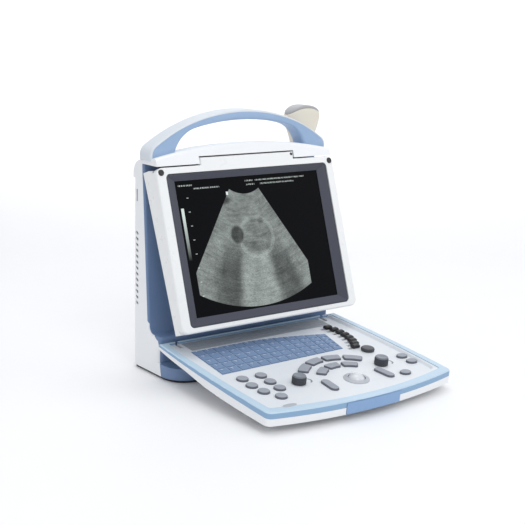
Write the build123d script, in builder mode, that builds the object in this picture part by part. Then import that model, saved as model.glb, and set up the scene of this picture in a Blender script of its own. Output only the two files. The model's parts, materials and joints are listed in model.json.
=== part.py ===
from build123d import *
from math import cos, degrees, hypot, radians, sin
import os

# Portable ultrasound scanner. Millimetres, +Z up, the user stands on the -Y side.
# The origin is the centre of the rubber base pad's lower face.

os.makedirs("parts", exist_ok=True)

# ---------------------------------------------------------------- driving dimensions
WALL = 2.5
HALF_WIDTH = 149.7
REAR = 55.5
FOOT_FRONT = -55.5
FOOT_TOP = 19.5
FOOT_CORNER_R = 36.0
PAD_HEIGHT = 4.0
SHELF_FRONT = -13.0
SHELF_TOP = 57.5
FACE_FOOT_Y = 15.2
FACE_TOP = (30.5, 288.6)
CASE_TOP = 268.0

TILT = 18.4
LCD_Y, LCD_Z = -33.5, 180.3
LCD_HALF_W, LCD_HALF_H = 123.0, 92.25
FRAME_HALF_W = 151.7
FRAME_LOW, FRAME_HIGH = -111.6, 111.0
TAB_HALF_W, TAB_HIGH = 80.0, 121.5
FRAME_FRONT, FRAME_BACK = 7.0, -3.0
BEZEL_HALF_W, BEZEL_LOW, BEZEL_HIGH = 138.0, -104.3, 101.6
COVER_DEEP, COVER_THIN = -27.0, -13.0
PIVOT_UP, PIVOT_BACK = 104.0, -14.0

HINGE_Y, HINGE_Z = -30.2, 40.4
PANEL_SLOPE = 5.4
PANEL = 6.0
CREST = 10.2
KEY_REAR = 10.9
KEY_SIDE, KEY_SIDE_MID = 155.0, 158.5
KEY_CORNER, KEY_FRONT = -234.0, -252.0
PIN_R = 2.5
PIN_GAP = 0.05

CROWN_SIDE, CROWN_MID = 299.2, 315.6
CROWN_FALL = 0.14
HANDLE_FRONT, HANDLE_REAR = 9.5, 38.5
HANDLE_SKIN = 2.5

PROBE_X, PROBE_Y = 154.0, 70.5
KEY_GAP = 0.4
KEY_LOW = 3.9

# ---------------------------------------------------------------- working planes
tilt_sin, tilt_cos = sin(radians(TILT)), cos(radians(TILT))
slope_sin, slope_cos = sin(radians(PANEL_SLOPE)), cos(radians(PANEL_SLOPE))

# monitor: local x across, y up the screen, z out of the screen
MONITOR = Plane(origin=(0, LCD_Y, LCD_Z), x_dir=(1, 0, 0), z_dir=(0, -tilt_cos, tilt_sin))
# monitor seen from its side: local x up the screen, y out of the screen, z across
MONITOR_SIDE = Plane(origin=(0, LCD_Y, LCD_Z), x_dir=(0, tilt_sin, tilt_cos), z_dir=(1, 0, 0))
# keyboard: origin on its hinge axis, local x across, y rearwards, z out of the panel
KEYBOARD = Plane(
    origin=(0, HINGE_Y, HINGE_Z), x_dir=(1, 0, 0), z_dir=(0, -slope_sin, slope_cos)
)
# keyboard seen from its side: local x rearwards, y out of the panel, z across
KEYBOARD_SIDE = Plane(
    origin=(0, HINGE_Y, HINGE_Z), x_dir=(0, slope_cos, slope_sin), z_dir=(1, 0, 0)
)
MONITOR_PIVOT = MONITOR_SIDE.from_local_coords((PIVOT_UP, PIVOT_BACK, 0))


def save(builder, name):
    """Label a finished piece and write its STEP file."""
    builder.part.label = name
    export_step(builder.part, "parts/" + name + ".step")


def edges_near(part, axis, test):
    """The part's edges along an axis whose centre passes a test."""
    return part.edges().filter_by(axis).filter_by(lambda edge: test(edge.center()))


# ---------------------------------------------------------------- main unit's shell
def unit_body(inset, bottom, top):
    """The main unit as one block: a foot, a shelf and a face that leans back."""
    foot_r, corner_r, rear_r = FOOT_CORNER_R - inset, 4.5 - inset, 6.5 - inset
    with BuildPart() as body:
        with BuildSketch(Plane.YZ.offset(inset - HALF_WIDTH)):
            with BuildLine():
                Polyline(
                    (FOOT_FRONT + inset, bottom),
                    (FOOT_FRONT + inset, FOOT_TOP - inset),
                    (SHELF_FRONT + inset, FOOT_TOP + 2 - inset),
                    (SHELF_FRONT + inset, SHELF_TOP - inset),
                    (FACE_FOOT_Y + inset, SHELF_TOP - inset),
                    (FACE_TOP[0] + inset, top),
                    (REAR - inset, top),
                    (REAR - inset, bottom),
                    close=True,
                )
            make_face()
        extrude(amount=2 * (HALF_WIDTH - inset))
        fillet(edges_near(body.part, Axis.Z, lambda c: c.Y < FOOT_FRONT + 4), foot_r)
        fillet(edges_near(body.part, Axis.Z, lambda c: abs(c.Y - SHELF_FRONT) < 4), corner_r + 3)
        fillet(edges_near(body.part, Axis.Z, lambda c: c.Y > REAR - 4), rear_r)
        concave = edges_near(
            body.part, Axis.X, lambda c: 12 < c.Y < 20 and abs(c.Z - SHELF_TOP) < 4
        )
        fillet(concave, 10)
        shelf_lip = body.edges().filter_by(
            lambda e: abs(e.center().Y - SHELF_FRONT) < 4 and abs(e.center().Z - SHELF_TOP) < 3
        )
        fillet(shelf_lip, 4 - inset)
    return body.part


def seam_block():
    """What the white case takes of the shell: its rear, floor and most of its sides."""
    side_wall = HALF_WIDTH - WALL
    with BuildPart() as block:
        with BuildSketch(Plane.YZ.offset(-HALF_WIDTH - 5)):
            with BuildLine():
                Polyline(
                    (-19.5, -5), (-8.5, 52), (-4, 54.5), (10, 60), (18.5, 74), (31.5, CASE_TOP),
                    (33.6, 300), (REAR + 5, 300), (REAR + 5, -5), close=True,
                )
            make_face()
        extrude(amount=2 * HALF_WIDTH + 10)
        with BuildSketch(Plane.YZ.offset(-side_wall)):
            with BuildLine():
                Polyline((-30, 12), (42, 12), (42, 310), (-30, 310), close=True)
            make_face()
        extrude(amount=2 * side_wall, mode=Mode.SUBTRACT)
    return block.part


outer_body = unit_body(0, PAD_HEIGHT, FACE_TOP[1])
inner_body = unit_body(WALL, PAD_HEIGHT + WALL, FACE_TOP[1] + 2)
behind_seam = seam_block()

VENT_Y, VENT_LOW, VENT_PITCH, VENT_COUNT = 45.6, 94.0, 8.2, 13
FAN_X, FAN_Z, FAN_SIZE = 62.0, 205.0, 60.0
DOOR_X, DOOR_Z, DOOR_W, DOOR_H = -62.0, 118.0, 132.0, 84.0
INLET_X, INLET_Z, INLET_W, INLET_H = 104.0, 42.0, 27.6, 20.6
SOCKET_Y, SOCKET_W, SOCKET_H = 39.0, 20.0, 62.0
SOCKET_LEVELS = (104.0, 176.0)
SCREW_PLACES = [(x, z) for x in (-136.0, 0.0, 136.0) for z in (22.0, 236.0)]

with BuildPart() as rear_case:
    add(outer_body)
    add(inner_body, mode=Mode.SUBTRACT)
    add(behind_seam, mode=Mode.INTERSECT)
    with Locations((0, 0, CASE_TOP + 50)):
        Box(400, 400, 100, mode=Mode.SUBTRACT)
    # column of vent slots and one tall slot in the left side
    with BuildSketch(Plane.YZ.offset(-HALF_WIDTH - 1)):
        for row in range(VENT_COUNT):
            with Locations((VENT_Y, VENT_LOW + row * VENT_PITCH)):
                SlotOverall(7.4, 3.8, rotation=24)
        with Locations((VENT_Y, 244.5)):
            SlotOverall(17.0, 3.6, rotation=90)
    extrude(amount=WALL + 2, mode=Mode.SUBTRACT)
    # probe sockets in the right side
    with BuildSketch(Plane.YZ.offset(HALF_WIDTH - WALL - 1)):
        for level in SOCKET_LEVELS:
            with Locations((SOCKET_Y, level)):
                RectangleRounded(SOCKET_W, SOCKET_H, 3)
    extrude(amount=WALL + 2, mode=Mode.SUBTRACT)
    # rear wall: fan grille, battery opening, mains inlet and screw holes
    with BuildSketch(Plane.XZ.offset(-REAR - 1)):
        for row in range(8):
            with Locations((FAN_X, FAN_Z + (row - 3.5) * 6.6)):
                SlotOverall(46, 3.4)
        with Locations((DOOR_X, DOOR_Z)):
            RectangleRounded(DOOR_W, DOOR_H, 4)
        with Locations((INLET_X, INLET_Z)):
            RectangleRounded(INLET_W, INLET_H, 2)
        for x, z in SCREW_PLACES:
            with Locations((x, z)):
                Circle(1.75)
    extrude(amount=WALL + 2, mode=Mode.SUBTRACT)
save(rear_case, "rear_case")

with BuildPart() as front_cover:
    add(outer_body)
    add(inner_body, mode=Mode.SUBTRACT)
    add(behind_seam, mode=Mode.SUBTRACT)
    # slots that the hinge brackets come through
    HINGE_X = 128.0
    BRACKET_T = 4.0
    for side in (-1, 1):
        with Locations((side * HINGE_X, SHELF_FRONT, HINGE_Z)):
            Box(BRACKET_T + 0.4, 12, 8.6, mode=Mode.SUBTRACT)
    ARM_X = 111.5
    ARM_T = 4.0
    for side in (-1, 1):
        with Locations((side * ARM_X, FACE_TOP[0], MONITOR_PIVOT.Z)):
            Box(ARM_T + 0.4, 12, 10.4, mode=Mode.SUBTRACT)
save(front_cover, "front_cover")

with BuildPart() as base_pad:
    with BuildSketch():
        with BuildLine():
            reach_x, reach_y = HALF_WIDTH - 3, REAR - 3
            Polyline(
                (-reach_x, -reach_y), (reach_x, -reach_y), (reach_x, reach_y),
                (-reach_x, reach_y), close=True,
            )
        face = make_face()
        fillet(face.vertices().group_by(Axis.Y)[0], FOOT_CORNER_R - 3)
        fillet(face.vertices().group_by(Axis.Y)[-1], 5)
    extrude(amount=PAD_HEIGHT)
save(base_pad, "base_pad")


# ---------------------------------------------------------------- top cap
def crown_block(inset):
    """The cap's block: arched across the unit, sloping down to the rear."""
    start_y = -20.0
    side_x = HALF_WIDTH - inset
    rise = -CROWN_FALL * start_y - inset
    with BuildPart() as block:
        with BuildSketch(Plane.XZ.offset(-start_y)):
            with BuildLine():
                ThreePointArc(
                    (-side_x, CROWN_SIDE + rise), (0, CROWN_MID + rise), (side_x, CROWN_SIDE + rise)
                )
                Polyline(
                    (side_x, CROWN_SIDE + rise), (side_x, 240), (-side_x, 240),
                    (-side_x, CROWN_SIDE + rise),
                )
            make_face()
        extrude(amount=100, dir=(0, 1, -CROWN_FALL))
        with BuildSketch(Plane.YZ.offset(-200)):
            with BuildLine():
                Polyline(
                    (-4.5 + inset, 289 + inset), (5 + inset, 318), (5 + inset, 340),
                    (REAR - inset, 340), (REAR - inset, CASE_TOP - inset),
                    (31 + inset, CASE_TOP - inset), (31 + inset, 289 + inset), close=True,
                )
            make_face()
        extrude(amount=400, mode=Mode.INTERSECT)
        top_rear = block.edges().filter_by(lambda e: e.center().Y > REAR - inset - 1)
        top_rear = top_rear.filter_by(lambda e: e.center().Z > 285 - inset)
        fillet(top_rear.sort_by(Axis.Z)[-1], 20 - inset)
        if inset == 0:
            rim = block.edges().filter_by(
                lambda e: abs(e.center().X) < 1 and e.center().Y < 10 and e.center().Z > 310
            )
            fillet(rim, 5)
    return block.part


crown_outer = crown_block(0)
crown_inner = crown_block(WALL)
TAB_CLEAR_R = 28.0

with BuildPart() as top_cap:
    add(crown_outer)
    add(crown_inner, mode=Mode.SUBTRACT)
    # a cove about the monitor's pivot, which its raised centre tab turns in
    with BuildSketch(Plane.YZ.offset(-TAB_HALF_W - 4)):
        with Locations((MONITOR_PIVOT.Y, MONITOR_PIVOT.Z)):
            Circle(TAB_CLEAR_R + WALL)
    cove = extrude(amount=2 * TAB_HALF_W + 8, mode=Mode.PRIVATE)
    add(cove & crown_outer)
    with BuildSketch(Plane.YZ.offset(-TAB_HALF_W - 1.5)):
        with Locations((MONITOR_PIVOT.Y, MONITOR_PIVOT.Z)):
            Circle(TAB_CLEAR_R)
    extrude(amount=2 * TAB_HALF_W + 3, mode=Mode.SUBTRACT)
    # the cap's skirt stops behind the blue cover
    with BuildSketch(Plane.YZ.offset(-HALF_WIDTH - 1)):
        with BuildLine():
            Polyline((26, 260), (31.6, CASE_TOP), (33.0, 288.9), (26, 288.9), close=True)
        make_face()
    extrude(amount=2 * HALF_WIDTH + 2, mode=Mode.SUBTRACT)
    with Locations((0, 32.0, 278.3)):
        Box(2 * (HALF_WIDTH - WALL), 8.0, 21.2, mode=Mode.SUBTRACT)
save(top_cap, "top_cap")


# ---------------------------------------------------------------- carrying handle
HANDLE_X, HANDLE_INNER_X = 151.0, 113.0
HANDLE_APEX, HANDLE_INNER_APEX = 358.5, 344.4
HANDLE_R, HANDLE_INNER_R = 257.0, 354.0


def arc_drop(x, radius):
    """How far a circle of this radius falls below its top at x."""
    return radius - (radius**2 - x**2) ** 0.5


def handle_block(skin):
    """The arch between its inner curve and its outer curve less a skin."""
    reach = HANDLE_X - skin
    shoulder = HANDLE_APEX - skin - arc_drop(reach, HANDLE_R - skin)
    inner_shoulder = HANDLE_INNER_APEX - arc_drop(HANDLE_INNER_X, HANDLE_INNER_R)
    with BuildPart() as block:
        with BuildSketch(Plane.XZ.offset(-HANDLE_FRONT)):
            with BuildLine():
                ThreePointArc((-reach, shoulder), (0, HANDLE_APEX - skin), (reach, shoulder))
                Polyline((reach, shoulder), (reach, 290), (HANDLE_INNER_X, 290))
                Line((HANDLE_INNER_X, 290), (HANDLE_INNER_X, inner_shoulder))
                ThreePointArc(
                    (HANDLE_INNER_X, inner_shoulder), (0, HANDLE_INNER_APEX),
                    (-HANDLE_INNER_X, inner_shoulder),
                )
                Polyline(
                    (-HANDLE_INNER_X, inner_shoulder), (-HANDLE_INNER_X, 290), (-reach, 290),
                    (-reach, shoulder),
                )
            face = make_face()
            tops = face.vertices().filter_by(lambda v: v.Z > 300)
            fillet(tops.filter_by(lambda v: abs(v.X) < HANDLE_INNER_X + 1), 30)
            fillet(tops.filter_by(lambda v: abs(v.X) > HANDLE_INNER_X + 1), 14)
        extrude(amount=HANDLE_FRONT - HANDLE_REAR)
    return block.part


handle_full = handle_block(0)
handle_core = handle_block(HANDLE_SKIN)

with BuildPart() as carry_handle:
    add(handle_core)
    add(crown_outer, mode=Mode.SUBTRACT)
save(carry_handle, "carry_handle")

with BuildPart() as handle_top:
    add(handle_full)
    add(handle_core, mode=Mode.SUBTRACT)
    add(crown_outer, mode=Mode.SUBTRACT)
save(handle_top, "handle_top")

# ---------------------------------------------------------------- inside the main unit
with BuildPart() as battery_door:
    with BuildSketch(Plane.XZ.offset(-REAR + WALL)):
        with Locations((DOOR_X, DOOR_Z)):
            RectangleRounded(DOOR_W - 0.6, DOOR_H - 0.6, 3.7)
    extrude(amount=-WALL)
    with BuildSketch(Plane.XZ.offset(-REAR - 1)):
        for row in range(4):
            with Locations((DOOR_X + DOOR_W / 2 - 20, DOOR_Z + (row - 1.5) * 6)):
                SlotOverall(22, 2.4)
    extrude(amount=1.8, mode=Mode.SUBTRACT)
save(battery_door, "battery_door")

with BuildPart() as battery_pack:
    with Locations((DOOR_X, 39.5, DOOR_Z)):
        Box(DOOR_W - 14, 24, DOOR_H - 10)
    fillet(battery_pack.edges().filter_by(Axis.Y), 4)
save(battery_pack, "battery_pack")

with BuildPart() as main_board:
    with Locations((66, 30, 128)):
        Box(128, 1.6, 100)
    with Locations(*[(66 + x, 32.8, 128 + z) for x in (-42, 0, 42) for z in (-26, 24)]):
        Box(26, 4, 24)
save(main_board, "main_board")

with BuildPart() as power_supply:
    with Locations((56, 36, 44)):
        Box(44, 30, 54)
    with BuildSketch(Plane.XY.offset(71)):
        with Locations((56, 36)):
            with GridLocations(9, 8, 4, 3):
                Circle(2.4)
    extrude(amount=-1.5, mode=Mode.SUBTRACT)
save(power_supply, "power_supply")

FAN_FRONT = 36.5
FAN_DEPTH = 15.0
with BuildPart() as fan_housing:
    with Locations((FAN_X, FAN_FRONT + FAN_DEPTH / 2, FAN_Z)):
        Box(FAN_SIZE, FAN_DEPTH, FAN_SIZE)
        Cylinder(28, FAN_DEPTH, rotation=(90, 0, 0), mode=Mode.SUBTRACT)
    with Locations((FAN_X, FAN_FRONT + 1.2, FAN_Z)):
        Cylinder(11, 2.4, rotation=(90, 0, 0))
        Box(2 * 28.5, 2.4, 3)
        Box(3, 2.4, 2 * 28.5)
    corners = edges_near(fan_housing.part, Axis.Y, lambda c: hypot(c.X - FAN_X, c.Z - FAN_Z) > 40)
    fillet(corners, 3)
save(fan_housing, "fan_housing")

BLADES = 7
with BuildPart() as fan_rotor:
    with BuildSketch(Plane.XZ.offset(-FAN_FRONT - 3)):
        with Locations((FAN_X, FAN_Z)):
            Circle(12)
            with PolarLocations(18, BLADES):
                Rectangle(16, 2.0, rotation=18)
    extrude(amount=-10)
save(fan_rotor, "fan_rotor")

with BuildPart() as probe_sockets:
    for level in SOCKET_LEVELS:
        with BuildSketch(Plane.YZ.offset(HALF_WIDTH - 14)):
            with Locations((SOCKET_Y, level)):
                RectangleRounded(SOCKET_W - 0.5, SOCKET_H - 0.5, 2.75)
        extrude(amount=14.3)
        with BuildSketch(Plane.YZ.offset(HALF_WIDTH - 11)):
            with Locations((SOCKET_Y, level)):
                RectangleRounded(SOCKET_W - 5, SOCKET_H - 5, 1.5)
        extrude(amount=12, mode=Mode.SUBTRACT)
save(probe_sockets, "probe_sockets")

with BuildPart() as mains_inlet:
    with BuildSketch(Plane.XZ.offset(-REAR - 1.2)):
        with Locations((INLET_X, INLET_Z)):
            RectangleRounded(INLET_W + 5, INLET_H + 5, 3)
    extrude(amount=1.2)
    with BuildSketch(Plane.XZ.offset(-REAR)):
        with Locations((INLET_X, INLET_Z)):
            RectangleRounded(INLET_W - 0.4, INLET_H - 0.4, 1.8)
    extrude(amount=17)
    with BuildSketch(Plane.XZ.offset(-REAR - 1.2)):
        with Locations((INLET_X, INLET_Z)):
            RectangleRounded(24.4, 16.6, 2.5)
    extrude(amount=15.5, mode=Mode.SUBTRACT)
    with BuildSketch(Plane.XZ.offset(-REAR + 15.2)):
        with Locations((INLET_X - 7, INLET_Z - 2), (INLET_X, INLET_Z + 2), (INLET_X + 7, INLET_Z - 2)):
            Rectangle(2, 4.0)
    extrude(amount=-12)
save(mains_inlet, "mains_inlet")

with BuildPart() as case_screws:
    for x, z in SCREW_PLACES:
        with BuildSketch(Plane.XZ.offset(-REAR - 1.6)):
            with Locations((x, z)):
                Circle(3.0)
        extrude(amount=1.6)
        with BuildSketch(Plane.XZ.offset(-REAR)):
            with Locations((x, z)):
                Circle(1.5)
        extrude(amount=9)
        with BuildSketch(Plane.XZ.offset(-REAR - 1.6)):
            with Locations((x, z)):
                Rectangle(3.4, 0.8)
                Rectangle(0.8, 3.4)
        extrude(amount=0.8, mode=Mode.SUBTRACT)
save(case_screws, "case_screws")

# ---------------------------------------------------------------- monitor hinges
ARM_R = 4.8
with BuildPart() as monitor_hinges:
    for side in (-1, 1):
        with BuildSketch(Plane.YZ.offset(side * ARM_X - ARM_T / 2)):
            with BuildLine():
                pivot_y, pivot_z = MONITOR_PIVOT.Y, MONITOR_PIVOT.Z
                Polyline(
                    (pivot_y, pivot_z - ARM_R), (44, pivot_z - ARM_R), (44, pivot_z + ARM_R),
                    (pivot_y, pivot_z + ARM_R), close=True,
                )
            make_face()
            with Locations((pivot_y, pivot_z)):
                Circle(ARM_R)
        extrude(amount=ARM_T)
        with BuildSketch(Plane.YZ.offset(side * ARM_X - 10)):
            with Locations((pivot_y, pivot_z)):
                Circle(PIN_R)
        extrude(amount=20)
save(monitor_hinges, "monitor_hinges")

# ---------------------------------------------------------------- monitor
with BuildPart() as monitor_frame:
    with BuildSketch(MONITOR.offset(FRAME_BACK)):
        middle = (FRAME_LOW + FRAME_HIGH) / 2
        with Locations((0, middle)):
            plate = Rectangle(2 * FRAME_HALF_W, FRAME_HIGH - FRAME_LOW)
        fillet(plate.vertices().group_by(Axis.Z)[0], 10)
        fillet(plate.vertices().group_by(Axis.Z)[-1], 7)
    extrude(amount=FRAME_FRONT - FRAME_BACK)
    with BuildSketch(MONITOR.offset(-1)):
        with Locations((0, (FRAME_HIGH + TAB_HIGH) / 2 - 2)):
            Rectangle(2 * TAB_HALF_W, TAB_HIGH - FRAME_HIGH + 4)
    extrude(amount=FRAME_FRONT + 1)
    front_face = monitor_frame.faces().sort_by(Axis((0, 0, 0), (0, -tilt_cos, tilt_sin)))[-1]
    fillet(front_face.outer_wire().edges(), 2.6)
    with BuildSketch(MONITOR.offset(FRAME_BACK)):
        with Locations((0, (BEZEL_LOW + BEZEL_HIGH) / 2)):
            RectangleRounded(2 * BEZEL_HALF_W + 0.6, BEZEL_HIGH - BEZEL_LOW + 0.6, 6.3)
    extrude(amount=20, mode=Mode.SUBTRACT)
    # pockets for the two rubber bumpers
    with BuildSketch(MONITOR.offset(FRAME_FRONT - 2)):
        for side in (-1, 1):
            with Locations((side * 144.8, 104.2)):
                Circle(4.3)
    extrude(amount=4, mode=Mode.SUBTRACT)
save(monitor_frame, "monitor_frame")

with BuildPart() as corner_bumpers:
    with BuildSketch(MONITOR.offset(FRAME_FRONT - 2)):
        for side in (-1, 1):
            with Locations((side * 144.8, 104.2)):
                Circle(4.2)
    extrude(amount=3.6)
    tops = corner_bumpers.faces().group_by(Axis((0, 0, 0), (0, -tilt_cos, tilt_sin)))[-1]
    fillet(tops.edges(), 1.4)
save(corner_bumpers, "corner_bumpers")


def cover_block(inset, front):
    """The monitor's rear shell as a block, thick at the top and thin at the foot."""
    half = FRAME_HALF_W - 0.4 - inset
    low, high = FRAME_LOW + 0.4 + inset, FRAME_HIGH - 0.4 - inset
    with BuildPart() as block:
        with BuildSketch(MONITOR_SIDE.offset(-half)):
            with BuildLine():
                Polyline(
                    (low, front), (high, front), (high, COVER_DEEP + inset),
                    (low, COVER_THIN + inset), close=True,
                )
            face = make_face()
            back = face.vertices().sort_by(Axis((0, 0, 0), (0, tilt_cos, -tilt_sin)))[-2:]
            fillet(back.sort_by(Axis.Z)[-1], 10 - inset)
            fillet(back.sort_by(Axis.Z)[0], 6 - inset)
        extrude(amount=2 * half)
    return block.part


cover_outer = cover_block(0, FRAME_BACK - 0.1)
cover_inner = cover_block(WALL, FRAME_BACK + 5)
BLOCK_X, BLOCK_W = ARM_X, 27.0

with BuildPart() as monitor_rear_cover:
    add(cover_outer)
    add(cover_inner, mode=Mode.SUBTRACT)
    # two solid blocks that the hinge pins turn in, each with a pocket for the arm
    with BuildSketch(MONITOR_SIDE.offset(-BLOCK_X - BLOCK_W / 2)):
        with Locations((PIVOT_UP + 0.6, PIVOT_BACK - 0.5)):
            Rectangle(11.6, 17)
    block_left = extrude(amount=BLOCK_W, mode=Mode.PRIVATE)
    add(block_left & cover_outer)
    with BuildSketch(MONITOR_SIDE.offset(BLOCK_X - BLOCK_W / 2)):
        with Locations((PIVOT_UP + 0.6, PIVOT_BACK - 0.5)):
            Rectangle(11.6, 17)
    block_right = extrude(amount=BLOCK_W, mode=Mode.PRIVATE)
    add(block_right & cover_outer)
    for side in (-1, 1):
        with BuildSketch(MONITOR_SIDE.offset(side * ARM_X - 10.5)):
            with Locations((PIVOT_UP, PIVOT_BACK)):
                Circle(PIN_R + PIN_GAP)
        extrude(amount=21, mode=Mode.SUBTRACT)
        # the pocket is open upwards and rearwards over the arm's whole swing
        with BuildSketch(MONITOR_SIDE.offset(side * ARM_X - ARM_T / 2 - 0.5)):
            with Locations((PIVOT_UP, PIVOT_BACK)):
                Circle(ARM_R + 0.6)
            with BuildLine():
                Polyline(
                    (PIVOT_UP - 12.5, PIVOT_BACK - 20), (PIVOT_UP - 5.4, PIVOT_BACK),
                    (PIVOT_UP + 5.4, PIVOT_BACK), (PIVOT_UP + 12, PIVOT_BACK - 20), close=True,
                )
            make_face()
        extrude(amount=ARM_T + 1, mode=Mode.SUBTRACT)
save(monitor_rear_cover, "monitor_rear_cover")

with BuildPart() as screen_bezel:
    with BuildSketch(MONITOR.offset(0.2)):
        with Locations((0, (BEZEL_LOW + BEZEL_HIGH) / 2)):
            RectangleRounded(2 * BEZEL_HALF_W, BEZEL_HIGH - BEZEL_LOW, 6)
    extrude(amount=5.3)
    with BuildSketch(MONITOR.offset(0.9)):
        Rectangle(2 * LCD_HALF_W + 0.4, 2 * LCD_HALF_H + 0.4)
    with BuildSketch(MONITOR.offset(5.6)):
        with Locations((0, (BEZEL_LOW + BEZEL_HIGH) / 2)):
            Rectangle(2 * BEZEL_HALF_W - 4, BEZEL_HIGH - BEZEL_LOW - 4)
    loft(mode=Mode.SUBTRACT)
    with BuildSketch(MONITOR):
        Rectangle(2 * LCD_HALF_W, 2 * LCD_HALF_H)
    extrude(amount=3, mode=Mode.SUBTRACT)
save(screen_bezel, "screen_bezel")

with BuildPart() as lcd_panel:
    with BuildSketch(MONITOR.offset(-6)):
        Rectangle(2 * LCD_HALF_W + 12, 2 * LCD_HALF_H + 12)
    extrude(amount=6)
save(lcd_panel, "lcd_panel")


# ---------------------------------------------------------------- keyboard shells
def keyboard_outline(side_in, front_in, rear_in, corner):
    """The keyboard's plan, less a margin at the sides, front and rear."""
    rear, front = KEY_REAR - rear_in, KEY_FRONT + front_in
    side, side_mid, corner_v = KEY_SIDE - side_in, KEY_SIDE_MID - side_in, KEY_CORNER + front_in
    with BuildSketch() as plan:
        with BuildLine():
            ThreePointArc((side, rear), (side_mid, (rear + corner_v) / 2), (side, corner_v))
            ThreePointArc((side, corner_v), (0, front), (-side, corner_v))
            ThreePointArc((-side, corner_v), (-side_mid, (rear + corner_v) / 2), (-side, rear))
            Line((-side, rear), (side, rear))
        face = make_face()
        fillet(face.vertices().group_by(Axis.Y)[0], corner)
        fillet(face.vertices().group_by(Axis.Y)[-1], min(corner, 5))
    return plan.sketch


UNDERSIDE = [(KEY_REAR + 1, 2.8), (-25, 0.2), (-61, -1.6), (-108, -5.9), (-142, -7.0), (-170, -7.5)]
UNDER_FLAT = -7.5
SPLIT_REAR, SPLIT_FRONT = 6.5, 1.5
LATCH_HALF, LATCH_TOP, LATCH_T = 45.0, 7.9, 4.0
KNUCKLE_R = 5.5
BALL_X, BALL_V, BALL_R, BALL_N = 20.8, -193.2, 12.7, 1.0
CUP_R = 15.6


def keyboard_prism(points, half=170):
    """A prism across the keyboard with this side profile."""
    with BuildPart() as prism:
        with BuildSketch(KEYBOARD_SIDE.offset(-half)):
            with BuildLine():
                Polyline(*points, close=True)
            make_face()
        extrude(amount=2 * half)
    return prism.part


tray_profile = keyboard_prism(
    UNDERSIDE + [(-270, UNDER_FLAT), (-270, SPLIT_FRONT), (KEY_REAR + 1, SPLIT_REAR)]
)
tray_cavity = keyboard_prism(
    [(7.9, 12), (7.9, KEY_LOW), (-14, KEY_LOW), (-14, 2.9)]
    + [(v, n + 2.3) for v, n in UNDERSIDE[2:]]
    + [(-262, UNDER_FLAT + 2.3), (-262, 12)]
)
above_split = keyboard_prism(
    [(-270, SPLIT_FRONT + 0.05), (KEY_REAR + 1, SPLIT_REAR + 0.05), (KEY_REAR + 1, 30), (-270, 30)]
)
latch_notch = keyboard_prism(
    [(-280, -20), (KEY_FRONT + 6.5, -20), (KEY_FRONT + 6.5, 8.2), (-280, 8.2)], 45.5
)

with BuildPart() as keyboard_tray:
    with BuildSketch(KEYBOARD.offset(-20)):
        add(keyboard_outline(0, 0, 0, 9))
    extrude(amount=40)
    add(tray_profile, mode=Mode.INTERSECT)
    with BuildSketch(KEYBOARD.offset(-20)):
        add(keyboard_outline(WALL, WALL, WALL, 6.5))
    hollow = extrude(amount=40, mode=Mode.PRIVATE)
    add(hollow & tray_cavity, mode=Mode.SUBTRACT)
    # knuckles round the hinge pins, either side of each bracket
    for side in (-1, 1):
        with BuildSketch(KEYBOARD_SIDE.offset(side * HINGE_X - 9)):
            Circle(KNUCKLE_R)
        extrude(amount=18)
    # seat for the control panel and the hinge strip
    with BuildSketch(KEYBOARD.offset(KEY_LOW + 0.05)):
        add(keyboard_outline(10.6, 12.1, 3.1, 5))
    extrude(amount=20, mode=Mode.SUBTRACT)
    # cup that hangs below the floor round the trackball
    with BuildSketch(KEYBOARD.offset(-14.5)):
        with Locations((BALL_X, BALL_V)):
            Circle(CUP_R)
    extrude(amount=10)
    with BuildSketch(KEYBOARD.offset(-12.3)):
        with Locations((BALL_X, BALL_V)):
            Circle(CUP_R - 2)
    extrude(amount=16, mode=Mode.SUBTRACT)
    for side in (-1, 1):
        with BuildSketch(KEYBOARD_SIDE.offset(side * HINGE_X - 10)):
            Circle(PIN_R + PIN_GAP)
        extrude(amount=20, mode=Mode.SUBTRACT)
        with BuildSketch(KEYBOARD_SIDE.offset(side * HINGE_X - BRACKET_T / 2 - 0.5)):
            with Locations((4, 0)):
                Rectangle(18, 30)
        extrude(amount=BRACKET_T + 1, mode=Mode.SUBTRACT)
    add(latch_notch, mode=Mode.SUBTRACT)
save(keyboard_tray, "keyboard_tray")

with BuildPart() as keyboard_trim:
    with BuildSketch(KEYBOARD.offset(0)):
        add(keyboard_outline(0, 0, 0, 9))
    extrude(amount=CREST)
    top_rim = keyboard_trim.faces().sort_by(Axis((0, 0, 0), (0, -slope_sin, slope_cos)))[-1]
    fillet(top_rim.outer_wire().edges(), 2.2)
    with BuildSketch(KEYBOARD.offset(-1)):
        add(keyboard_outline(10.5, 12, 3, 5))
    extrude(amount=20, mode=Mode.SUBTRACT)
    add(above_split, mode=Mode.INTERSECT)
    add(latch_notch, mode=Mode.SUBTRACT)
    for side in (-1, 1):
        with BuildSketch(KEYBOARD_SIDE.offset(side * HINGE_X - BRACKET_T / 2 - 0.5)):
            with Locations((4, 0)):
                Rectangle(18, 40)
        extrude(amount=BRACKET_T + 1, mode=Mode.SUBTRACT)
save(keyboard_trim, "keyboard_trim")

# ---------------------------------------------------------------- places of the controls
FIELD_LEFT, FIELD_RIGHT = (-126.0, -131.5), (89.5, 76.0)
ROWS, COLUMNS = 5, 13


def field_point(across, down):
    """A point of the key field: across 0..1 from the left, down 0..1 from the rear."""
    top_x = FIELD_LEFT[0] + across * (FIELD_RIGHT[0] - FIELD_LEFT[0])
    low_x = FIELD_LEFT[1] + across * (FIELD_RIGHT[1] - FIELD_LEFT[1])
    top_v = -23.5 - 24.0 * max(0.0, across - 0.42) ** 1.5 / 0.58**1.5
    low_v = -106.0 + 3.0 * across
    return top_x + down * (low_x - top_x), top_v + down * (low_v - top_v)


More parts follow.
